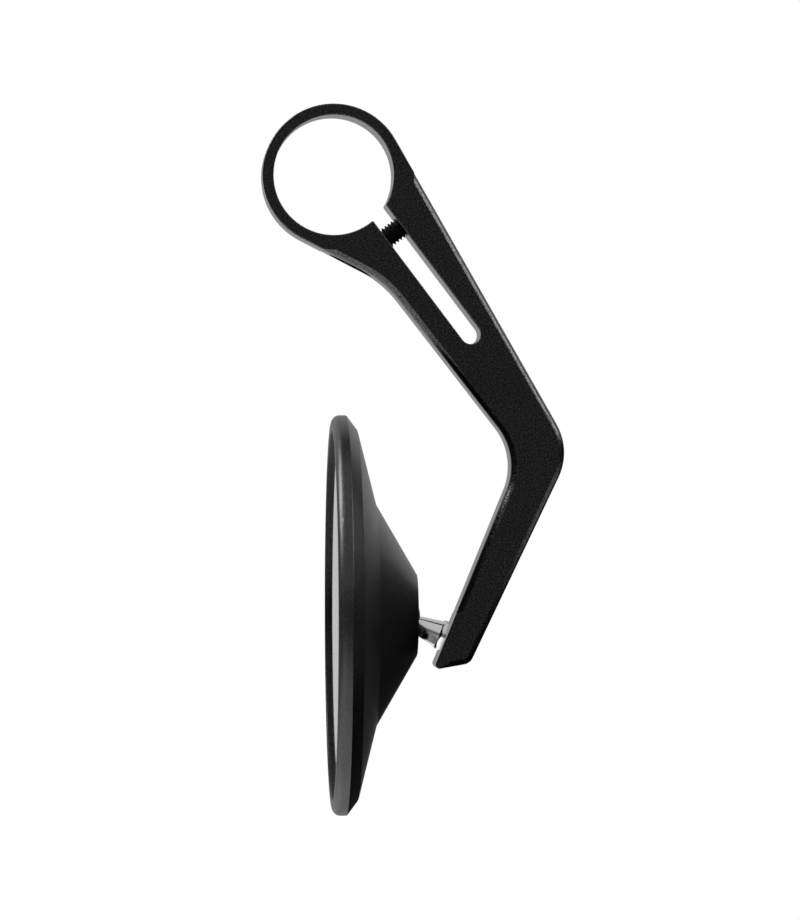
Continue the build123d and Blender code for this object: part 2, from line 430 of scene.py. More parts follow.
def turning_lines(name):
    """Rings that a lathe tool leaves round the Z axis: a height and a streak."""
    tree, source, result = new_group(name, "Pitch", ["Height", "Streak"])
    parts = add(tree, "ShaderNodeSeparateXYZ")
    ring = add(tree, "ShaderNodeCombineXYZ")
    radius = axis_distance(tree, source.outputs["Vector"])
    wire(
        (source.outputs["Vector"], parts.inputs[0]),
        (radius, ring.inputs["X"]),
        (parts.outputs["Z"], ring.inputs["Y"]),
    )
    place = counted(tree, ring.outputs[0], source.outputs["Pitch"])
    cuts = noise(tree, place, {"Scale": 1, "Detail": 3})
    bands = noise(tree, place, {"Scale": 0.2, "Detail": 2})
    wire((cuts, result.inputs["Height"]), (bands, result.inputs["Streak"]))
    return tree


def handling_marks(name):
    """Faint cloudy marks of handling on a clean surface."""
    tree, source, result = new_group(name, "Amount", ["Mark"])
    sockets = {"Scale": 90, "Detail": 4, "Roughness": 0.65, "Distortion": 0.6}
    clouds = noise(tree, source.outputs["Vector"], sockets)
    amount = add(tree, "ShaderNodeMath", operation="MULTIPLY")
    wire(
        (stretch(tree, clouds, source=(0.45, 0.75)), amount.inputs[0]),
        (source.outputs["Amount"], amount.inputs[1]),
        (amount.outputs[0], result.inputs["Mark"]),
    )
    return tree


GROUPS = {
    "Blasted grain": blasted_grain,
    "Turning lines": turning_lines,
    "Handling marks": handling_marks,
}


def anodised_material(name, finish, roughness, shine, speckle, grain_depth):
    """Dyed and sealed anodising on blasted aluminium, as dark metal whose grains shine unevenly."""
    material, tree, shader = new_material(name)
    place = object_place(tree)
    grain = use_group(tree, "Blasted grain", place, finish.grain_size)
    marks = use_group(tree, "Handling marks", place, finish.handling)
    # A shine of one half is what the layer's index alone gives
    facing = 2 * ((finish.ior - 1) / (finish.ior + 1)) ** 2
    dark = tuple(channel + facing * (shine - speckle) for channel in finish.colour)
    light = tuple(channel + facing * (shine + speckle) for channel in finish.colour)
    uneven = (roughness - GRAIN_ROUGHNESS, roughness + GRAIN_ROUGHNESS)
    rubbed = add(tree, "ShaderNodeMath", operation="SUBTRACT")
    wire(
        (two_tone(tree, grain.outputs["Speckle"], dark, light), shader.inputs["Base Color"]),
        (stretch(tree, grain.outputs["Speckle"], target=uneven), rubbed.inputs[0]),
        (marks.outputs["Mark"], rubbed.inputs[1]),
        (rubbed.outputs[0], shader.inputs["Roughness"]),
    )
    set_sockets(shader, {"Metallic": 1})
    bump(tree, shader, grain.outputs["Height"], grain_depth)
    return material


def turned_metal_material(name, colour, axis, roughness, pitch, depth):
    """Bare metal with the fine rings of its turning round an axis."""
    material, tree, shader = new_material(name)
    lines = use_group(tree, "Turning lines", along_axis(tree, axis), pitch)
    tone = two_tone(tree, lines.outputs["Streak"], shade(colour, STREAK_SHADE), colour)
    uneven = tuple(roughness * factor for factor in LINE_ROUGHNESS)
    wire(
        (tone, shader.inputs["Base Color"]),
        (stretch(tree, lines.outputs["Height"], target=uneven), shader.inputs["Roughness"]),
    )
    set_sockets(shader, {"Metallic": 1})
    bump(tree, shader, lines.outputs["Height"], depth)
    return material


def grained_material(name, colour, shades, roughness, grain_size, depth, shine=0.5):
    """Plastic, foam or oxide with a fine grain of two shades and two roughnesses."""
    material, tree, shader = new_material(name)
    grain = use_group(tree, "Blasted grain", object_place(tree), grain_size)
    dark, light = (shade(colour, factor) for factor in shades)
    wire(
        (two_tone(tree, grain.outputs["Speckle"], dark, light), shader.inputs["Base Color"]),
        (stretch(tree, grain.outputs["Speckle"], target=roughness), shader.inputs["Roughness"]),
    )
    set_sockets(shader, {"Specular IOR Level": shine})
    bump(tree, shader, grain.outputs["Height"], depth)
    return material


class AnodisedFinish(bpy.types.PropertyGroup):
    """Black anodising of the arm and the mirror head."""

    colour: FloatVectorProperty(
        name="Dye", description="Colour that the dye adds to the reflection",
        subtype="COLOR", default=(0.012, 0.012, 0.0124), min=0, max=1,
    )
    arm_roughness: FloatProperty(
        name="Arm roughness", description="How matt the arm's faces are",
        subtype="FACTOR", default=0.22, min=0, max=1,
    )
    head_roughness: FloatProperty(
        name="Head roughness", description="How matt the head's faces are",
        subtype="FACTOR", default=0.35, min=0, max=1,
    )
    shine: FloatProperty(
        name="Shine", description="How much the sealed layer shines",
        subtype="FACTOR", default=0.5, min=0, max=1,
    )
    # Painted shade: the pocket's low shine darkens the recessed wall round the glass
    shaded_pocket_shine: FloatProperty(
        name="Pocket shine", description="Shine of the wall round the glass",
        subtype="FACTOR", default=0.1, min=0, max=1,
    )
    pocket_speckle: FloatProperty(
        name="Pocket speckle", description="How much that shine differs from grain to grain",
        subtype="FACTOR", default=0.08, min=0, max=0.5,
    )
    pocket_gap: FloatProperty(
        name="Pocket gap", description="The pocket's wall lies this near the glass",
        unit="LENGTH", default=0.0005,
    )
    pocket_depth: FloatProperty(
        name="Pocket depth", description="The pocket lies this near the lip",
        unit="LENGTH", default=0.003,
    )
    edge_rub: FloatProperty(
        name="Edge rub", description="How much smoother the edges are",
        subtype="FACTOR", default=0.05, min=0, max=1,
    )
    ior: FloatProperty(
        name="Index", description="Refractive index of the oxide layer", default=1.6, min=1, max=3
    )
    grain_size: FloatProperty(
        name="Grain size", description="Width of one blasted pit",
        unit="LENGTH", default=0.0003, min=0.00005,
    )
    arm_grain: FloatProperty(
        name="Arm grain", description="Depth of the blasted pits on the arm",
        unit="LENGTH", default=0.000025, min=0,
    )
    head_grain: FloatProperty(
        name="Head grain", description="Depth of the blasted pits on the head",
        unit="LENGTH", default=0.000012, min=0,
    )
    arm_speckle: FloatProperty(
        name="Arm speckle", description="How much the arm's shine differs from grain to grain",
        subtype="FACTOR", default=0.42, min=0, max=0.5,
    )
    head_speckle: FloatProperty(
        name="Head speckle", description="How much the head's shine differs from grain to grain",
        subtype="FACTOR", default=0.14, min=0, max=0.5,
    )
    handling: FloatProperty(
        name="Handling", description="How much handling has rubbed the faces smooth",
        subtype="FACTOR", default=0.04, min=0, max=1,
    )
    arm_edge: FloatProperty(
        name="Arm edges", description="Small round that breaks the milled edges",
        unit="LENGTH", default=0.00024,
    )
    head_edge: FloatProperty(
        name="Head edges", description="Small round that breaks the turned edges",
        unit="LENGTH", default=0.00015,
    )


class StudFinish(bpy.types.PropertyGroup):
    """Bright steel of the ball stud and the turned edges of its collar."""

    colour: FloatVectorProperty(
        name="Steel", description="Colour of the bright steel",
        subtype="COLOR", default=(0.82, 0.82, 0.82), min=0, max=1,
    )
    roughness: FloatProperty(
        name="Roughness", description="How matt the turned steel is",
        subtype="FACTOR", default=0.14, min=0, max=1,
    )
    line_pitch: FloatProperty(
        name="Line pitch", description="Distance between turning lines",
        unit="LENGTH", default=0.00012, min=0.00001,
    )
    line_depth: FloatProperty(
        name="Line depth", description="Depth of the turning lines",
        unit="LENGTH", default=0.000004, min=0,
    )
    heading: FloatProperty(
        name="Heading", description="Slope of the stud above level",
        subtype="ANGLE", default=math.radians(-22.3),
    )
    corner_radius: FloatProperty(
        name="Corner radius", description="Radius to which the collar's corners are turned",
        unit="LENGTH", default=0.00304,
    )
    collar_place: FloatProperty(
        name="Collar", description="Middle of the collar from the ball's centre",
        unit="LENGTH", default=0.009745,
    )
    turned_length: FloatProperty(
        name="Turned length", description="Length of the cut over the corners",
        unit="LENGTH", default=0.0019,
    )
    flat_radius: FloatProperty(
        name="Flat radius", description="Distance of the collar's flats from its axis",
        unit="LENGTH", default=0.0028,
    )
    chamfer_place: FloatProperty(
        name="Chamfer", description="Where the chamfer ends on the flats, from the ball's centre",
        unit="LENGTH", default=0.00932,
    )
    chamfer_length: FloatProperty(
        name="Chamfer length", description="Length of the chamfer's cut along the stud",
        unit="LENGTH", default=0.00052,
    )


class GlassFinish(bpy.types.PropertyGroup):
    """Silvered mirror glass and the pad behind it."""

    colour: FloatVectorProperty(
        name="Silver", description="Colour of the reflection",
        subtype="COLOR", default=(0.93, 0.95, 0.96), min=0, max=1,
    )
    edge_colour: FloatVectorProperty(
        name="Edge", description="Colour of the ground edge",
        subtype="COLOR", default=(0.2, 0.24, 0.24), min=0, max=1,
    )
    edge_width: FloatProperty(
        name="Edge width", description="Width of the ground edge",
        unit="LENGTH", default=0.0006, min=0,
    )
    roughness: FloatProperty(
        name="Roughness", description="Blur of the reflection",
        subtype="FACTOR", default=0.02, min=0, max=1,
    )
    handling: FloatProperty(
        name="Handling", description="Blur that fingers leave",
        subtype="FACTOR", default=0.03, min=0, max=1,
    )
    pad_colour: FloatVectorProperty(
        name="Pad", description="Colour of the bonding pad",
        subtype="COLOR", default=(0.03, 0.03, 0.03), min=0, max=1,
    )


class SocketFinish(bpy.types.PropertyGroup):
    """Finishes of the pieces inside the head."""

    liner_colour: FloatVectorProperty(
        name="Liner", description="Colour of the plastic liners",
        subtype="COLOR", default=(0.72, 0.72, 0.69), min=0, max=1,
    )
    steel_colour: FloatVectorProperty(
        name="Steel", description="Colour of the cup and spring",
        subtype="COLOR", default=(0.45, 0.45, 0.46), min=0, max=1,
    )
    plug_colour: FloatVectorProperty(
        name="Plug", description="Colour of the bare aluminium plug",
        subtype="COLOR", default=(0.7, 0.7, 0.71), min=0, max=1,
    )


class ScrewSizes(bpy.types.PropertyGroup):
    """Pinch screw across the slot."""

    slot_heading: FloatProperty(
        name="Slot heading", description="Lean of the slot from straight down",
        subtype="ANGLE", default=math.radians(36.95),
    )
    from_bore: FloatProperty(
        name="From bore", description="Screw axis from the middle of the bore",
        unit="LENGTH", default=0.01515,
    )
    seat: FloatProperty(
        name="Seat", description="Head seat along the screw from the bore's line",
        unit="LENGTH", default=-0.001505,
    )
    length: FloatProperty(
        name="Length", description="Length under the head", unit="LENGTH", default=0.01
    )
    diameter: FloatProperty(
        name="Diameter", description="Outside of the thread", unit="LENGTH", default=0.004
    )
    pitch: FloatProperty(
        name="Pitch", description="Rise of one turn", unit="LENGTH", default=0.0007
    )
    thread_depth: FloatProperty(
        name="Thread depth", description="Depth of the thread", unit="LENGTH", default=0.00043
    )
    crest: FloatProperty(
        name="Crest", description="Flat on top of the thread", unit="LENGTH", default=0.00009
    )
    root: FloatProperty(
        name="Root", description="Flat at the bottom of the thread", unit="LENGTH", default=0.00009
    )
    point_chamfer: FloatProperty(
        name="Point", description="Chamfer of the point", unit="LENGTH", default=0.0005
    )
    head_diameter: FloatProperty(
        name="Head", description="Diameter of the head", unit="LENGTH", default=0.007
    )
    head_height: FloatProperty(
        name="Head height", description="Height of the head", unit="LENGTH", default=0.0028
    )
    head_bevel: FloatProperty(
        name="Head bevel", description="Bevel round the top", unit="LENGTH", default=0.0004
    )
    knurls: IntProperty(name="Knurls", description="Ridges round the head", default=40, min=12)
    knurl_depth: FloatProperty(
        name="Knurl depth", description="Depth of the ridges", unit="LENGTH", default=0.00011
    )
    key: FloatProperty(
        name="Key", description="Key size across the flats", unit="LENGTH", default=0.0025
    )
    key_depth: FloatProperty(
        name="Key depth", description="Depth of the key hole", unit="LENGTH", default=0.0016
    )
    colour: FloatVectorProperty(
        name="Oxide", description="Colour of the black oxide",
        subtype="COLOR", default=(0.004, 0.004, 0.0042), min=0, max=1,
    )
    shine: FloatProperty(
        name="Shine", description="How much the oiled oxide shines",
        subtype="FACTOR", default=0.25, min=0, max=1,
    )


class StageSettings(bpy.types.PropertyGroup):
    """Camera, floor, studio light and a card of painted shade."""

    camera_place: FloatVectorProperty(
        name="Camera", description="Place of the camera",
        subtype="TRANSLATION", default=(-0.03892, -1.06136, -0.05619),
    )
    camera_target: FloatVectorProperty(
        name="Target", description="Point the camera looks at",
        subtype="TRANSLATION", default=(0.0124367, 0, -0.0526024),
    )
    camera_lens: FloatProperty(
        name="Lens", description="Focal length", unit="CAMERA", default=224.13
    )
    camera_roll: FloatProperty(
        name="Roll", description="Lean of the camera", subtype="ANGLE", default=-0.0013
    )
    floor_colour: FloatVectorProperty(
        name="Floor", description="Colour of the floor",
        subtype="COLOR", default=(0.86, 0.86, 0.86), min=0, max=1,
    )
    floor_height: FloatProperty(
        name="Floor height", description="Height of the floor", unit="LENGTH", default=-0.19
    )
    sky_level: FloatProperty(
        name="Above", description="Brightness of the tent above", default=0.6, min=0
    )
    table_level: FloatProperty(
        name="Below", description="Brightness of the white table below", default=1.3, min=0
    )
    horizon_level: FloatProperty(
        name="Level with the part", description="Brightness of the dim room between table and tent",
        default=0.14, min=0,
    )
    horizon_right: FloatProperty(
        name="Level on the right", description="Brightness of the dim room on the right",
        default=0.04, min=0,
    )
    back_left: FloatProperty(
        name="Back left", description="Brightness behind on the left", default=0.52, min=0
    )
    back_right: FloatProperty(
        name="Back right", description="Brightness behind on the upper right", default=0.58, min=0
    )
    back_low: FloatProperty(
        name="Back low", description="Brightness behind on the lower right", default=0.03, min=0
    )
    key_place: FloatVectorProperty(
        name="Key", description="Place of the upper left lamp",
        subtype="TRANSLATION", default=(-0.48, 0.03, 0.42),
    )
    key_size: FloatProperty(
        name="Key size", description="Width of the upper left lamp", unit="LENGTH", default=0.45
    )
    key_power: FloatProperty(
        name="Key power", description="Power of the upper left lamp", unit="POWER", default=5.0
    )
    fill_place: FloatVectorProperty(
        name="Fill", description="Place of the right lamp",
        subtype="TRANSLATION", default=(0.62, -0.06, 0.3),
    )
    fill_size: FloatProperty(
        name="Fill size", description="Width of the right lamp", unit="LENGTH", default=0.34
    )
    fill_power: FloatProperty(
        name="Fill power", description="Power of the right lamp", unit="POWER", default=1.3
    )
    # The dark card is painted shade, a sheet seen only in reflections
    card_place: FloatVectorProperty(
        name="Card", description="Middle of the dark card",
        subtype="TRANSLATION", default=(0.0825, 0, -0.1375),
    )
    card_size: FloatVectorProperty(
        name="Card size", description="Width and length of the dark card",
        size=2, unit="LENGTH", default=(0.137, 0.5),
    )
    card_tilt: FloatProperty(
        name="Card tilt", description="Lean of the dark card",
        subtype="ANGLE", default=math.radians(-10.5),
    )


class MirrorSettings(bpy.types.PropertyGroup):
    """All the settings of the bar end mirror."""

    anodised: PointerProperty(
        name="Anodising", description="Black finish of the arm and head", type=AnodisedFinish
    )
    stud: PointerProperty(name="Stud", description="Steel of the ball stud", type=StudFinish)
    glass: PointerProperty(name="Glass", description="Mirror glass and pad", type=GlassFinish)
    socket: PointerProperty(name="Socket", description="Pieces inside the head", type=SocketFinish)
    screw: PointerProperty(name="Screw", description="Pinch screw", type=ScrewSizes)
    stage: PointerProperty(name="Studio", description="Camera, floor and light", type=StageSettings)


class BARMIRROR_OT_black_metal(bpy.types.Operator):
    """Break the edges of the clamp arm and the mirror head, anodise them black and paint shade on
    the wall round the glass
    """

    bl_idname = "bar_mirror.black_metal"
    bl_label = "Arm and head"

    def execute(self, context):
        finish = context.scene.bar_mirror.anodised
        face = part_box("clamp_arm")[1].y

        def through_plate(ends, depth):
            on_face = all(abs(abs(end.y) - face) < MERGE_DISTANCE for end in ends)
            return on_face and depth > face / 2

        arm = edge_broken_copy("clamp_arm", finish.arm_edge, through_plate)
        looks = (finish.shine, finish.arm_speckle, finish.arm_grain)
        set_material(arm, *self.faces_and_edges("milled", finish, finish.arm_roughness, looks))
        hand_over(arm, "milled_arm", "arm", "clamp_arm")

        head = edge_broken_copy("mirror_housing", finish.head_edge, lambda ends, depth: True)
        looks = (finish.shine, finish.head_speckle, finish.head_grain)
        turned = self.faces_and_edges("turned", finish, finish.head_roughness, looks)
        # The pocket material is painted shade that darkens the recessed wall round the glass
        looks = (finish.shaded_pocket_shine, finish.pocket_speckle, finish.head_grain)
        pocket = anodised_material("turned_pocket_faces", finish, finish.head_roughness, *looks)
        set_material(head, *turned, pocket)
        hand_over(head, "turned_head", "mirror_head", "mirror_housing")
        self.paint_pocket_shade(head, finish)
        return {"FINISHED"}

    def faces_and_edges(self, kind, finish, roughness, looks):
        """Anodising of the faces and of the smoother edges of a piece."""
        faces = anodised_material(f"{kind}_anodised_faces", finish, roughness, *looks)
        smoother = roughness - finish.edge_rub
        return faces, anodised_material(f"{kind}_anodised_edges", finish, smoother, *looks)

    def paint_pocket_shade(self, head, finish):
        """Give the faces round the glass the darker pocket material, which is painted shade in the
        recess.
        """
        wall = glass_radius() + finish.pocket_gap
        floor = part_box("mirror_housing")[0].x + finish.pocket_depth

        def in_pocket(face):
            away = (face.center - BALL_CENTRE).cross(HEAD_AXIS).length
            return away < wall and face.center.x < floor

        edit(head)
        pick(head, "polygons", in_pocket)
        head.active_material_index = PAINTED_SHADE_SLOT
        bpy.ops.object.material_slot_assign()
        leave_edit()


class BARMIRROR_OT_ball_stud(bpy.types.Operator):
    """Finish the ball stud in bright turned steel and turn the edges of its collar"""

    bl_idname = "bar_mirror.ball_stud"
    bl_label = "Ball stud"

    def execute(self, context):
        finish = context.scene.bar_mirror.stud
        axis = sloping(finish.heading)
        steel = turned_metal_material(
            "bright_steel", finish.colour, axis,
            roughness=finish.roughness, pitch=finish.line_pitch, depth=finish.line_depth,
        )
        stud = joined_copy("ball_stud")
        leave_edit()
        corner, flat, slope = finish.corner_radius, finish.flat_radius, finish.chamfer_length / 2
        cuts = (
            (finish.collar_place, finish.turned_length, corner, corner),
            (finish.chamfer_place, finish.chamfer_length, flat - slope, flat + slope),
        )
        for cut in cuts:
            boolean(stud, self.turning_ring(axis, *cut), "DIFFERENCE")
        close_slivers(stud)
        bpy.ops.object.shade_smooth_by_angle(angle=FACET_ANGLE)
        set_material(stud, steel)
        hand_over(stud, "bright_ball_stud", "arm", "ball_stud")
        # Its glow would show in the black back of the head
        stud.visible_glossy = False
        return {"FINISHED"}

    def turning_ring(self, axis, place, length, near_radius, far_radius):
        """Ring round the collar that turns its corners or edge off; its near end faces the ball."""
        ring = primitive(
            bpy.ops.mesh.primitive_cone_add, vertices=RING_STEPS,
            radius1=near_radius, radius2=far_radius, depth=length, end_fill_type="NOTHING",
        )
        apply_modifier(ring, "SOLIDIFY", thickness=far_radius / 2, offset=1)
        move_to(ring, BALL_CENTRE + axis * place, UP.rotation_difference(axis).to_matrix())
        return ring


class BARMIRROR_OT_glass(bpy.types.Operator):
    """Silver the mirror glass and finish the pad behind it"""

    bl_idname = "bar_mirror.glass"
    bl_label = "Glass and pad"

    def execute(self, context):
        finish = context.scene.bar_mirror.glass
        glass = joined_copy("mirror_glass")
        leave_edit()
        bpy.ops.object.shade_smooth_by_angle(angle=STEEP_ANGLE)
        set_material(glass, self.silver(finish))
        hand_over(glass, "silvered_glass", "mirror_head", "mirror_glass")
        pad = grained_material(
            "bonding_pad", finish.pad_colour, MOULDED_SHADES,
            roughness=(0.7, 0.8), grain_size=0.0004, depth=0.00005,
        )
        set_material(frame["nodes"]["glass_pad"], pad)
        return {"FINISHED"}

    def silver(self, finish):
        """Silver seen through glass, with a darker ground edge."""
        material, tree, shader = new_material("silvered_glass")
        place = along_axis(tree, HEAD_AXIS)
        radius = glass_radius()
        edge = (radius - finish.edge_width, radius)
        rim = stretch(tree, axis_distance(tree, place), source=edge)
        marks = use_group(tree, "Handling marks", place, finish.handling)
        blur = add(tree, "ShaderNodeMath", {1: finish.roughness}, operation="ADD")
        wire(
            (two_tone(tree, rim, finish.colour, finish.edge_colour), shader.inputs["Base Color"]),
            (marks.outputs["Mark"], blur.inputs[0]),
            (blur.outputs[0], shader.inputs["Roughness"]),
        )
        set_sockets(shader, {"Metallic": 1})
        return material


class BARMIRROR_OT_socket(bpy.types.Operator):
    """Finish the liners, cup, spring and plug inside the head"""

    bl_idname = "bar_mirror.socket"
    bl_label = "Ball socket"

    def execute(self, context):
        finish = context.scene.bar_mirror.socket
        liner = grained_material(
            "liner_plastic_grain", finish.liner_colour, MOULDED_SHADES,
            roughness=(0.42, 0.52), grain_size=0.0003, depth=0.00001,
        )
        steel = turned_metal_material(
            "plain_steel_lines", finish.steel_colour, HEAD_AXIS,
            roughness=0.32, pitch=0.00016, depth=0.000006,
        )
        aluminium = turned_metal_material(
            "plain_aluminium_lines", finish.plug_colour, HEAD_AXIS,
            roughness=0.3, pitch=0.0002, depth=0.000006,
        )
        finishes = {
            "rear_ball_liner": liner,
            "front_ball_liner": liner,
            "pressure_cup": steel,
            "disc_spring": steel,
            "adjusting_plug": aluminium,
        }
        for node, material in finishes.items():
            set_material(frame["nodes"][node], material)
        return {"FINISHED"}


class BARMIRROR_OT_pinch_screw(bpy.types.Operator):
    """Model the threaded pinch screw with its knurled head and key hole"""

    bl_idname = "bar_mirror.pinch_screw"
    bl_label = "Pinch screw"

    def execute(self, context):
        sizes = context.scene.bar_mirror.screw
        screw = self.thread(sizes)
        boolean(screw, self.shank_limit(sizes), "INTERSECT")
        boolean(screw, self.head(sizes), "UNION")
        close_slivers(screw)
        bpy.ops.object.shade_smooth_by_angle(angle=THREAD_ANGLE)
        axis = sloping(sizes.slot_heading)
        down_slot = sloping(sizes.slot_heading - math.pi / 2)
        turn = Matrix((BORE_AXIS, axis.cross(BORE_AXIS), axis)).transposed()
        move_to(screw, down_slot * sizes.from_bore + axis * sizes.seat, turn)
        oxide = grained_material(
            "black_oxide", sizes.colour, OXIDE_SHADES,
            roughness=(0.3, 0.42), grain_size=0.00018, depth=0.000008, shine=sizes.shine,
        )
        set_material(screw, oxide)
        hand_over(screw, "pinch_screw", "arm", "pinch_bolt")
        return {"FINISHED"}

    def thread(self, sizes):
        """Helical thread, longer than the shank at both ends, with its ends closed."""
        flank = (sizes.pitch - sizes.crest - sizes.root) / 2
        width = flank * 2 + sizes.crest
        middle = sizes.diameter / 2 - sizes.thread_depth / 2
        thread = primitive(
            bpy.ops.mesh.primitive_plane_add, scale=(sizes.thread_depth, width, 1),
            size=1, location=(middle, 0, 0), rotation=(math.pi / 2, 0, 0),
        )
        edit(thread)
        pick(thread, "vertices", lambda vertex: vertex.co.x > middle)
        narrowing = (1, 1, sizes.crest / width)
        bpy.ops.transform.resize(value=narrowing, center_override=(middle, 0, 0))
        inner = [vertex.index for vertex in thread.data.vertices if vertex.co.x < middle]
        pick(thread, "edges", lambda edge: all(index in inner for index in edge.vertices))
        bpy.ops.mesh.delete(type="EDGE")
        pick(thread, "vertices", lambda vertex: vertex.co.x < middle and vertex.co.z > 0)
        bpy.ops.mesh.extrude_vertices_move(TRANSFORM_OT_translate={"value": (0, 0, sizes.root)})
        leave_edit()
        turns = math.ceil(sizes.length / sizes.pitch) + SPARE_TURNS
        apply_modifier(
            thread, "SCREW", axis="Z", steps=THREAD_STEPS, render_steps=THREAD_STEPS,
            iterations=turns, screw_offset=sizes.pitch, use_merge_vertices=True,
            merge_threshold=THREAD_MERGE, use_normal_calculate=True,
        )
        edit(thread)
        bpy.ops.mesh.select_all(action="SELECT")
        bpy.ops.transform.translate(value=(0, 0, -SPARE_TURNS / 2 * sizes.pitch))
        bpy.ops.mesh.remove_doubles(threshold=THREAD_MERGE)
        bpy.ops.mesh.fill_holes(sides=0)
        bpy.ops.mesh.normals_make_consistent(inside=False)
        leave_edit()
        return thread

    def shank_limit(self, sizes):
        """Cylinder with a chamfered point that trims the thread to the screw's length."""
        middle = sizes.length / 2
        limit = primitive(
            bpy.ops.mesh.primitive_cylinder_add, vertices=SHANK_STEPS,
            radius=sizes.diameter / 2 + sizes.thread_depth, depth=sizes.length,
            location=(0, 0, middle),
        )
        points = limit.data.vertices
        edit(limit)
        pick(limit, "edges", lambda edge: all(points[i].co.z > middle for i in edge.vertices))
        bpy.ops.mesh.bevel(offset=sizes.point_chamfer + sizes.thread_depth, segments=1)
        leave_edit()
        return limit

    def head(self, sizes):
        """Knurled cap head below the seat with a key hole in its end."""
        head = primitive(
            bpy.ops.mesh.primitive_cylinder_add, vertices=sizes.knurls * 2,
            radius=sizes.head_diameter / 2, depth=sizes.head_height,
            location=(0, 0, -sizes.head_height / 2),
        )
        step = math.pi / sizes.knurls

        def in_groove(vertex):
            return round(math.atan2(vertex.co.y, vertex.co.x) / step) % 2 == 1

        edit(head)
        pick(head, "vertices", in_groove)
        shrink = 1 - sizes.knurl_depth * 2 / sizes.head_diameter
        bpy.ops.transform.resize(value=(shrink, shrink, 1), center_override=(0, 0, 0))
        pick(head, "polygons", lambda face: face.normal.z < -FACING)
        bpy.ops.mesh.bevel(offset=sizes.head_bevel, segments=2)
        leave_edit()
        key = primitive(
            bpy.ops.mesh.primitive_cylinder_add, vertices=6,
            radius=sizes.key / math.sqrt(3), depth=sizes.key_depth * 2,
            location=(0, 0, -sizes.head_height),
        )
        boolean(head, key, "DIFFERENCE")
        return head


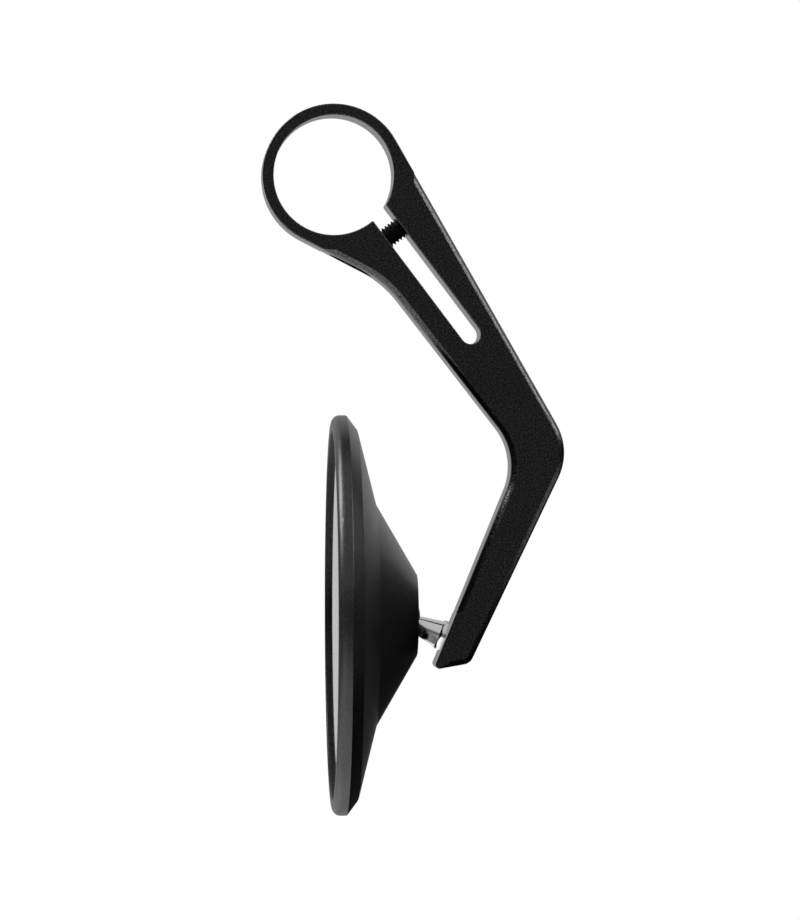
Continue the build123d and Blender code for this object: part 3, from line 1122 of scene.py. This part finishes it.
class BARMIRROR_OT_stage(bpy.types.Operator):
    """Set the camera, the pale floor, a card of painted shade seen only in reflections and the soft
    studio light
    """

    bl_idname = "bar_mirror.stage"
    bl_label = "Studio"

    def execute(self, context):
        stage = context.scene.bar_mirror.stage
        self.camera(context, stage)
        self.floor(stage)
        self.dark_card(stage)
        self.tent(context, stage)
        self.lamp("key_lamp", stage.key_place, stage.key_size, stage.key_power)
        self.lamp("fill_lamp", stage.fill_place, stage.fill_size, stage.fill_power)
        context.scene.view_settings.view_transform = "Standard"
        return {"FINISHED"}

    def aim(self, piece, place, target):
        """Turn a camera or lamp at a place towards a target."""
        piece.rotation_mode = "QUATERNION"
        piece.rotation_quaternion = (target - Vector(place)).to_track_quat("-Z", "Y")

    def camera(self, context, stage):
        """Long lens at the height of the part, a little to the mirror's side."""
        bpy.ops.object.select_all(action="DESELECT")
        bpy.ops.object.camera_add(location=stage.camera_place)
        camera = bpy.context.view_layer.objects.active
        camera.name = "studio_camera"
        self.aim(camera, stage.camera_place, Vector(stage.camera_target))
        camera.rotation_quaternion @= Quaternion(UP, stage.camera_roll)
        camera.data.lens = stage.camera_lens
        camera.data.sensor_width = SENSOR_WIDTH
        camera.data.clip_start, camera.data.clip_end = CLIP
        context.scene.camera = camera

    def floor(self, stage):
        """Pale floor that fades into the white of the studio."""
        floor = primitive(
            bpy.ops.mesh.primitive_circle_add, vertices=RING_STEPS, radius=FLOOR_RADIUS,
            fill_type="NGON", location=(0, 0, stage.floor_height),
        )
        floor.name = "studio_floor"
        floor.visible_glossy = False
        material, tree, shader = new_material("studio_floor")
        set_sockets(shader, {"Base Color": (*stage.floor_colour, 1), "Roughness": 0.8})
        white = add(tree, "ShaderNodeEmission")
        path = add(tree, "ShaderNodeLightPath")
        distance = add(tree, "ShaderNodeVectorMath", operation="LENGTH")
        fade = stretch(tree, distance.outputs["Value"], source=FLOOR_FADE)
        seen = add(tree, "ShaderNodeMath", operation="MULTIPLY")
        mix = add(tree, "ShaderNodeMixShader")
        wire(
            (object_place(tree), distance.inputs[0]),
            (fade, seen.inputs[0]),
            (path.outputs["Is Camera Ray"], seen.inputs[1]),
            (seen.outputs[0], mix.inputs["Fac"]),
            (shader.outputs[0], mix.inputs[1]),
            (white.outputs[0], mix.inputs[2]),
            (mix.outputs[0], tree.nodes["Material Output"].inputs["Surface"]),
        )
        set_material(floor, material)

    def dark_card(self, stage):
        """Painted shade: a dark card low on the right, standing in for the shadowed table, that
        only shows in reflections and keeps lower edges black.
        """
        card = primitive(
            bpy.ops.mesh.primitive_plane_add, scale=(*stage.card_size, 1),
            size=1, location=stage.card_place, rotation=(0, stage.card_tilt, 0),
        )
        card.name = "dark_card"
        card.visible_camera = False
        card.visible_diffuse = False
        card.visible_shadow = False
        material, _, shader = new_material("dark_card")
        # Near black, so that reflections of the lower right show painted shade
        black = (0.02, 0.02, 0.02, 1)
        set_sockets(shader, {"Base Color": black, "Roughness": 0.9, "Specular IOR Level": 0})
        set_material(card, material)

    def tent(self, context, stage):
        """White table and tent with a dim room between, lighter behind the part on its left."""
        world = bpy.data.worlds.new("light_tent")
        context.scene.world = world
        world.use_nodes = True
        tree = world.node_tree
        direction = add(tree, "ShaderNodeTexCoord").outputs["Generated"]
        parts = add(tree, "ShaderNodeSeparateXYZ")
        backward = add(tree, "ShaderNodeVectorMath", {1: BACKWARD}, operation="DOT_PRODUCT")
        slanted = add(tree, "ShaderNodeVectorMath", {1: BACK_SLANT}, operation="DOT_PRODUCT")
        for node in (parts, backward, slanted):
            wire((direction, node.inputs[0]))
        right, up = parts.outputs["X"], parts.outputs["Z"]
        backward, slanted = backward.outputs["Value"], slanted.outputs["Value"]
        level = self.band(tree, right, RIGHT_BAND, stage.horizon_level, stage.horizon_right)
        above = self.band(tree, up, ABOVE_BAND, level, stage.sky_level)
        below = self.band(tree, up, BELOW_BAND, stage.table_level, above)
        low = self.band(tree, slanted, BACK_LOW_BAND, stage.back_low, stage.back_right)
        back = self.band(tree, right, BACK_RIGHT_BAND, stage.back_left, low)
        behind = self.band(tree, backward, BACK_BAND, below, back)
        tent = tree.nodes["Background"]
        white = add(tree, "ShaderNodeBackground")
        for background in (tent, white):
            set_sockets(background, {"Color": (1, 1, 1, 1)})
        path = add(tree, "ShaderNodeLightPath")
        mix = add(tree, "ShaderNodeMixShader")
        wire(
            (behind, tent.inputs["Strength"]),
            (path.outputs["Is Camera Ray"], mix.inputs["Fac"]),
            (tent.outputs[0], mix.inputs[1]),
            (white.outputs[0], mix.inputs[2]),
            (mix.outputs[0], tree.nodes["World Output"].inputs["Surface"]),
        )

    def band(self, tree, value, ends, start, end):
        """Soft change of brightness between two ends; each side is a number or another band."""
        sockets = {"From Min": ends[0], "From Max": ends[1]}
        node = add(tree, "ShaderNodeMapRange", sockets, interpolation_type="SMOOTHSTEP")
        wire((value, node.inputs["Value"]))
        for socket, level in (("To Min", start), ("To Max", end)):
            if isinstance(level, bpy.types.NodeSocket):
                wire((level, node.inputs[socket]))
            else:
                set_sockets(node, {socket: level})
        return node.outputs["Result"]

    def lamp(self, name, place, size, power):
        """Square soft lamp aimed at the middle of the part."""
        bpy.ops.object.select_all(action="DESELECT")
        bpy.ops.object.light_add(type="AREA", location=place)
        lamp = bpy.context.view_layer.objects.active
        lamp.name = name
        self.aim(lamp, place, (CAD_BOX[0] + CAD_BOX[1]) / 2)
        lamp.data.shape = "SQUARE"
        lamp.data.size = size
        lamp.data.energy = power
        lamp.visible_camera = False


class BARMIRROR_PT_panel(bpy.types.Panel):
    """Pieces of the bar end mirror"""

    bl_idname = "BARMIRROR_PT_panel"
    bl_label = "Bar end mirror"
    bl_space_type = "VIEW_3D"
    bl_region_type = "UI"
    bl_category = "Bar end mirror"

    def draw(self, context):
        settings = context.scene.bar_mirror
        rows = (
            ("bar_mirror.black_metal", settings.anodised),
            ("bar_mirror.ball_stud", settings.stud),
            ("bar_mirror.glass", settings.glass),
            ("bar_mirror.socket", settings.socket),
            ("bar_mirror.pinch_screw", settings.screw),
            ("bar_mirror.stage", settings.stage),
        )
        for operator, group in rows:
            box = self.layout.box()
            box.operator(operator)
            for name in group.bl_rna.properties.keys():
                if name not in ("rna_type", "name"):
                    box.prop(group, name)


CLASSES = (
    AnodisedFinish,
    StudFinish,
    GlassFinish,
    SocketFinish,
    ScrewSizes,
    StageSettings,
    MirrorSettings,
    BARMIRROR_OT_black_metal,
    BARMIRROR_OT_ball_stud,
    BARMIRROR_OT_glass,
    BARMIRROR_OT_socket,
    BARMIRROR_OT_pinch_screw,
    BARMIRROR_OT_stage,
    BARMIRROR_PT_panel,
)


def register():
    for cls in CLASSES:
        bpy.utils.register_class(cls)
    bpy.types.Scene.bar_mirror = PointerProperty(
        name="Bar end mirror", description="Settings of the bar end mirror", type=MirrorSettings
    )


def unregister():
    del bpy.types.Scene.bar_mirror
    for cls in reversed(CLASSES):
        bpy.utils.unregister_class(cls)


def main():
    register()
    bpy.ops.bar_mirror.black_metal()
    bpy.ops.bar_mirror.ball_stud()
    bpy.ops.bar_mirror.glass()
    bpy.ops.bar_mirror.socket()
    bpy.ops.bar_mirror.pinch_screw()
    bpy.ops.bar_mirror.stage()


if __name__ == "__main__":
    main()
